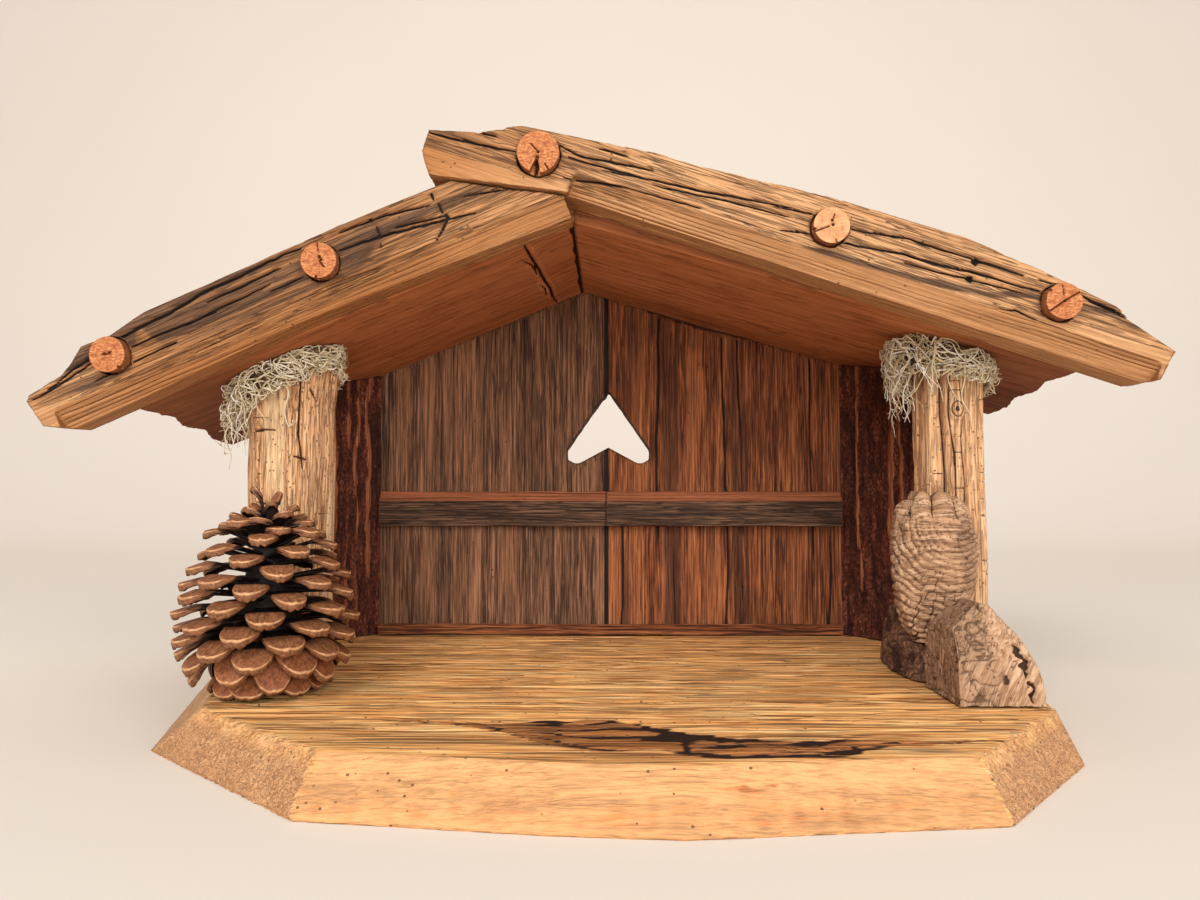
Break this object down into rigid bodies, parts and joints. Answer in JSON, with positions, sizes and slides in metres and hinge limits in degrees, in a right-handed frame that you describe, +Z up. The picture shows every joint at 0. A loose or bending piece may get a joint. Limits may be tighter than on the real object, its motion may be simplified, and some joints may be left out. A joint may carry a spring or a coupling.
{
  "type": "wooden nativity stable",
  "caption": "Open-fronted rustic stable with a bevelled slab, log posts, pitched board roof behind weathered beams, heart window, pine cone and driftwood.",
  "frame": {"origin": "in the flat underside of the base slab, near the middle of its width and depth", "axes": "+X to the viewer's right, +Y from the open front to the back wall, +Z up"},
  "size_m": [0.3636, 0.223, 0.1918],
  "materials": {
    "base_wood": "oiled, honey brown",
    "back_wood_grey": "rough sawn, grey brown",
    "back_wood_red": "rough sawn, red brown",
    "bark": "rough bark face, dark red brown",
    "rail_wood": "weathered, dark grey brown",
    "roof_wood": "stained, smooth red brown",
    "beam_wood": "weathered and worn, with dark checks",
    "peg_wood": "end grain, orange brown",
    "post_wood": "peeled log, pale tan",
    "lichen": "dry lichen strands, pale grey green",
    "pine_cone": "dry scales with paler tips",
    "driftwood": "wrinkled and weathered, grey tan",
    "dark_root": "rough root, dark brown",
    "fastener_steel": "plain zinc"
  },
  "bodies": {
    "root": {"base_board": "base_wood", "back_board_left": "back_wood_grey", "back_board_right": "back_wood_red", "side_wall_left": "bark", "side_wall_right": "bark", "back_rail_left": "rail_wood", "back_rail_right": "rail_wood", "back_skirting": "back_wood_red", "roof_panel_left": "roof_wood", "roof_panel_right": "roof_wood", "roof_beam_left": "beam_wood", "roof_beam_right": "beam_wood", "peg_left_lower": "peg_wood", "peg_left_upper": "peg_wood", "peg_ridge": "peg_wood", "peg_right_upper": "peg_wood", "peg_right_lower": "peg_wood", "post_left": "post_wood", "post_right": "post_wood", "lichen_left": "lichen", "lichen_right": "lichen", "pine_cone": "pine_cone", "driftwood_burl": "driftwood", "driftwood_block": "driftwood", "root_foot": "dark_root", "base_screws": "fastener_steel", "roof_nails": "fastener_steel"}
  },
  "joints": []
}
